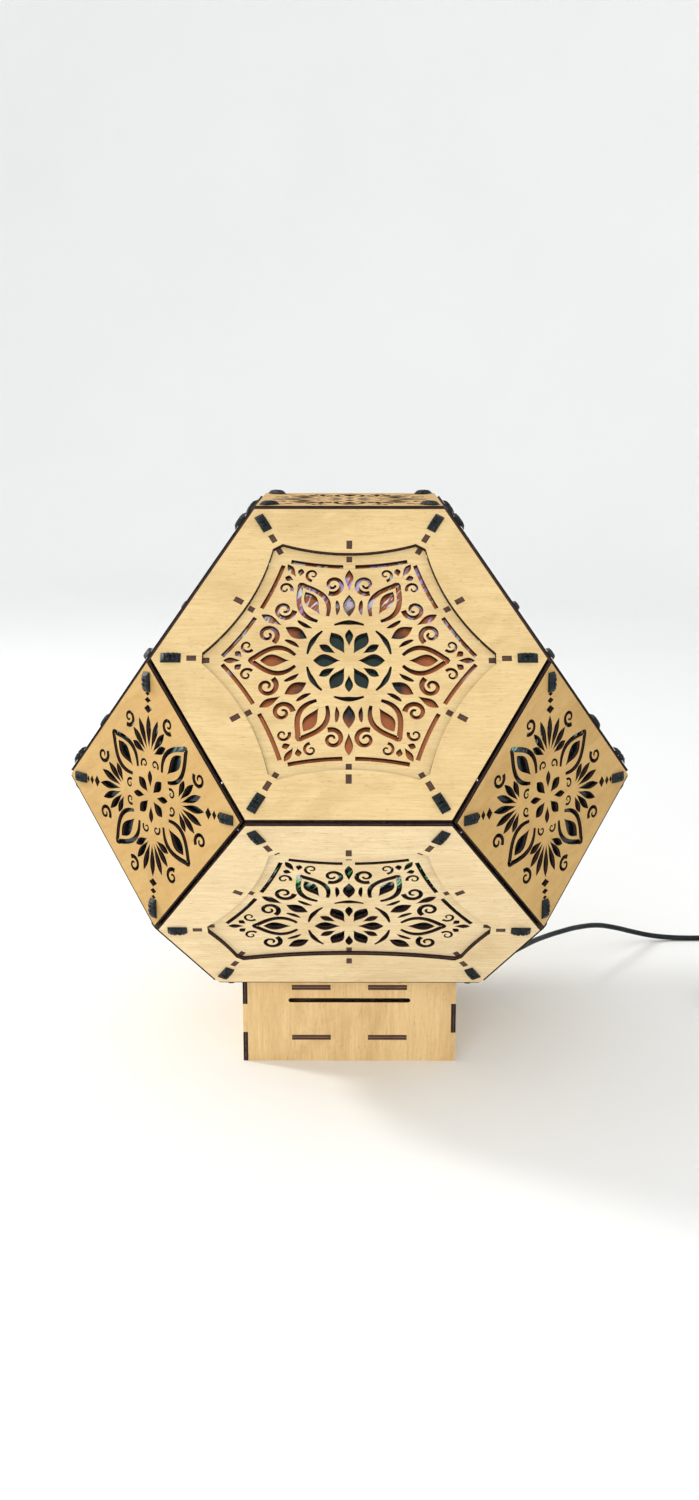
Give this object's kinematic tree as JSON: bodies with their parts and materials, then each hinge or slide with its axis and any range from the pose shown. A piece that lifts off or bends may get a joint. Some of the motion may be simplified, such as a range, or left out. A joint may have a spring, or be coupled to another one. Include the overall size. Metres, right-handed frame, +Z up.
{
  "type": "table lamp",
  "caption": "Plywood lantern table lamp: a truncated octahedron of fretwork panels held by snap-fit corner connectors, on a square finger-jointed plinth with a mains cord.",
  "frame": {"origin": "middle of the plinth's footprint, on the surface that the lamp stands on", "axes": "+Z up; the front faces -Y; +X to the right as seen from the front"},
  "size_m": [0.5182, 0.3574, 0.3661],
  "materials": {
    "hexagon_ply": "birch plywood, sanded, laser-cut edges burnt dark brown",
    "square_ply": "birch plywood, a shade more golden, laser-cut edges burnt dark brown",
    "plinth_ply": "birch plywood with upright grain, laser-cut edges burnt dark brown",
    "black_nylon": "moulded black nylon, semi-matte",
    "black_pvc": "black PVC, slight sheen",
    "white_plastic": "white moulded plastic",
    "frosted_glass": "opal glass globe",
    "iridescent_film": "thin iridescent film behind the fretwork, added by the visual model"
  },
  "bodies": {
    "root": {"hexagon_panel_upper_front": "hexagon_ply", "fretwork_upper_front": "hexagon_ply", "hexagon_panel_upper_right": "hexagon_ply", "fretwork_upper_right": "hexagon_ply", "hexagon_panel_upper_back": "hexagon_ply", "fretwork_upper_back": "hexagon_ply", "hexagon_panel_upper_left": "hexagon_ply", "fretwork_upper_left": "hexagon_ply", "hexagon_panel_lower_front": "hexagon_ply", "fretwork_lower_front": "hexagon_ply", "hexagon_panel_lower_right": "hexagon_ply", "fretwork_lower_right": "hexagon_ply", "hexagon_panel_lower_back": "hexagon_ply", "fretwork_lower_back": "hexagon_ply", "hexagon_panel_lower_left": "hexagon_ply", "fretwork_lower_left": "hexagon_ply", "square_fretwork_front_right": "square_ply", "connector_front_right_right": "black_nylon", "connector_front_right_top": "black_nylon", "connector_front_right_left": "black_nylon", "connector_front_right_bottom": "black_nylon", "square_fretwork_back_right": "square_ply", "connector_back_right_right": "black_nylon", "connector_back_right_top": "black_nylon", "connector_back_right_left": "black_nylon", "connector_back_right_bottom": "black_nylon", "square_fretwork_back_left": "square_ply", "connector_back_left_right": "black_nylon", "connector_back_left_top": "black_nylon", "connector_back_left_left": "black_nylon", "connector_back_left_bottom": "black_nylon", "square_fretwork_front_left": "square_ply", "connector_front_left_right": "black_nylon", "connector_front_left_top": "black_nylon", "connector_front_left_left": "black_nylon", "connector_front_left_bottom": "black_nylon", "square_fretwork_top": "square_ply", "connector_crown_back_right": "black_nylon", "connector_crown_back_left": "black_nylon", "connector_crown_front_left": "black_nylon", "connector_crown_front_right": "black_nylon", "bottom_plate": "hexagon_ply", "connector_foot_back_right": "black_nylon", "connector_foot_front_right": "black_nylon", "connector_foot_front_left": "black_nylon", "connector_foot_back_left": "black_nylon", "plinth_front": "plinth_ply", "plinth_right": "plinth_ply", "plinth_back": "plinth_ply", "plinth_left": "plinth_ply", "plinth_lower_deck": "plinth_ply", "plinth_upper_deck": "plinth_ply", "lamp_holder": "white_plastic", "bulb": "frosted_glass", "cord_gland": "black_nylon", "mains_cord": "black_pvc", "cord_coil": "black_pvc", "switch_body": "black_pvc", "plug": "black_pvc"},
    "switch_rocker": {"switch_rocker": "black_nylon"}
  },
  "joints": [
    {"name": "switch_rocker_tilt", "type": "hinge", "parent": "root", "child": "switch_rocker", "pos_m": [0.322, 0.097, 0.017], "axis": [1, 0, 0], "range_deg": [0, 16]}
  ]
}
